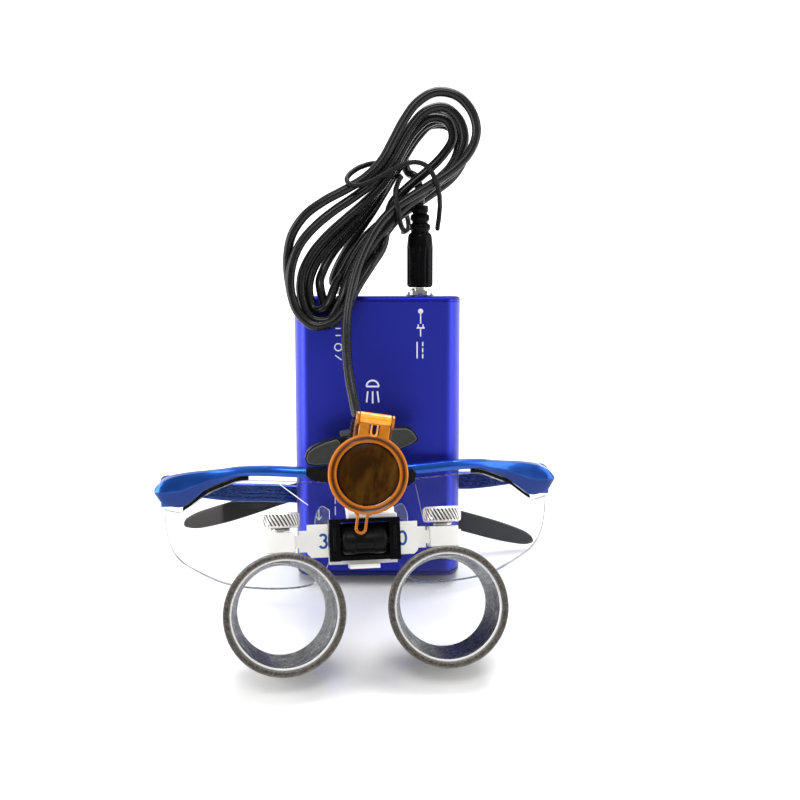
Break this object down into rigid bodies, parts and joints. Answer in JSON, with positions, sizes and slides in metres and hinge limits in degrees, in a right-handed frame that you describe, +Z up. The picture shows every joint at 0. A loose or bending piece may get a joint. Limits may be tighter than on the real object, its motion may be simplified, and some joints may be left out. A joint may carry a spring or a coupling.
{
  "type": "dental loupes",
  "caption": "Flip-up magnifying spectacles with a clip-on headlight, temples folded round a belt battery pack and the lamp cable coiled above it.",
  "frame": {"origin": "centre of the assembly's bounding box in X and Y, at the floor under the battery pack's lower rear edge", "axes": "+X to the viewer's right across the spectacles, +Y away from the barrels towards the back of the pack, +Z up"},
  "size_m": [0.1524, 0.1366, 0.1836],
  "materials": {
    "anodised_blue": "satin anodised",
    "plate_navy": "satin",
    "screw_steel": "satin",
    "nickel": "polished",
    "cell_wrap": "gloss",
    "board": "satin",
    "frame_blue": "metallic gloss",
    "clear": "polished",
    "rubber_black": "matt",
    "plastic_black": "matt",
    "plastic_white": "satin",
    "barrel_grey": "satin anodised",
    "orange": "gloss translucent",
    "amber": "polished",
    "led_yellow": "satin",
    "alloy": "satin"
  },
  "bodies": {
    "power_pack": {"pack_shell": "anodised_blue", "top_plate": "anodised_blue", "bottom_plate": "plate_navy", "plate_screw_left": "screw_steel", "plate_screw_right": "screw_steel", "battery": "cell_wrap", "circuit_board": "board", "charge_jack": "plastic_black", "output_jack": "nickel", "jack_nut": "nickel", "switch_ring": "nickel"},
    "power_button": {"power_button": "screw_steel"},
    "spectacles": {"brow_frame": "frame_blue", "lens_shield": "clear", "brow_lining_left": "rubber_black", "brow_lining_right": "rubber_black", "nose_pad_left": "clear", "nose_pad_right": "clear", "hinge_pin_left": "screw_steel", "hinge_pin_right": "screw_steel", "bridge_bracket": "plastic_white", "bracket_screw_1": "screw_steel", "bracket_screw_2": "screw_steel", "yoke_screw": "screw_steel", "flip_yoke": "plastic_black", "flip_pin": "screw_steel", "clip_front_jaw": "plastic_black", "clip_pin": "screw_steel", "clip_spring": "screw_steel", "tilt_pin": "screw_steel", "cable": "rubber_black", "cable_tie": "plastic_black", "plug_body": "plastic_black", "plug_pin": "nickel"},
    "temple_left": {"temple_left": "frame_blue", "temple_tip_left": "rubber_black"},
    "temple_right": {"temple_right": "frame_blue", "temple_tip_right": "rubber_black"},
    "carriage": {"flip_drum": "plastic_black", "crossbar": "plastic_white"},
    "slider_left": {"pd_slider_left": "plastic_white", "barrel_left": "barrel_grey", "bezel_left": "barrel_grey", "front_lens_left": "clear", "rear_lens_left": "clear"},
    "slider_right": {"pd_slider_right": "plastic_white", "barrel_right": "barrel_grey", "bezel_right": "barrel_grey", "front_lens_right": "clear", "rear_lens_right": "clear"},
    "thumb_left": {"thumb_screw_left": "nickel"},
    "thumb_right": {"thumb_screw_right": "nickel"},
    "clip_jaw": {"clip_rear_jaw": "plastic_black"},
    "lamp": {"lamp_housing": "alloy", "lamp_lens": "clear", "led_module": "led_yellow", "filter_pin": "screw_steel", "cable_relief": "rubber_black"},
    "filter": {"filter_frame": "orange", "filter_disc": "amber"}
  },
  "joints": [
    {"name": "plug_pull", "type": "slide", "parent": "power_pack", "child": "spectacles", "axis": [0, 0.1908, 0.9816], "range_m": [0, 0.013]},
    {"name": "power_button_press", "type": "slide", "parent": "power_pack", "child": "power_button", "axis": [0, -0.1908, -0.9816], "range_m": [0, 0.0012], "stiffness_N_per_m": 300},
    {"name": "temple_right_fold", "type": "hinge", "parent": "spectacles", "child": "temple_right", "pos_m": [0.07138, 0.0326, 0.03603], "axis": [-0.0096, -0.0363, -0.9993], "range_deg": [0, 80]},
    {"name": "temple_left_fold", "type": "hinge", "parent": "spectacles", "child": "temple_left", "pos_m": [-0.07253, 0.01494, 0.03805], "axis": [0.0096, 0.0363, 0.9993], "range_deg": [0, 80]},
    {"name": "magnifier_flip", "type": "hinge", "parent": "spectacles", "child": "carriage", "pos_m": [0.00421, -0.04224, 0.04434], "axis": [-0.9924, -0.1219, 0.014], "range_deg": [0, 70]},
    {"name": "pd_slide_left", "type": "slide", "parent": "carriage", "child": "slider_left", "axis": [-0.9924, -0.1219, 0.014], "range_m": [-0.001, 0.005]},
    {"name": "pd_slide_right", "type": "slide", "parent": "carriage", "child": "slider_right", "axis": [0.9924, 0.1219, -0.014], "range_m": [-0.001, 0.005]},
    {"name": "thumb_turn_left", "type": "hinge", "parent": "slider_left", "child": "thumb_left", "pos_m": [-0.02363, -0.03672, 0.04719], "axis": [-0.0389, 0.421, 0.9062], "range_deg": [0, 360]},
    {"name": "thumb_turn_right", "type": "hinge", "parent": "slider_right", "child": "thumb_right", "pos_m": [0.02996, -0.03014, 0.04644], "axis": [-0.0389, 0.421, 0.9062], "range_deg": [0, 360]},
    {"name": "lamp_tilt", "type": "hinge", "parent": "spectacles", "child": "lamp", "pos_m": [0.00379, -0.02157, 0.06102], "axis": [-0.9851, -0.0527, 0.1639], "range_deg": [0, 25], "deforming": ["cable"]},
    {"name": "filter_flip", "type": "hinge", "parent": "lamp", "child": "filter", "pos_m": [0.008, -0.0332, 0.08259], "axis": [-0.9851, -0.0527, 0.1639], "range_deg": [0, 100]},
    {"name": "clip_open", "type": "hinge", "parent": "spectacles", "child": "clip_jaw", "pos_m": [0.00098, 0.00407, 0.05782], "axis": [0.9817, 0.1361, 0.1332], "range_deg": [0, 20], "stiffness_Nm_per_rad": 0.05}
  ],
  "couplings": [
    {"joint": "temple_left_fold", "follows": "temple_right_fold", "ratio": 1}
  ]
}
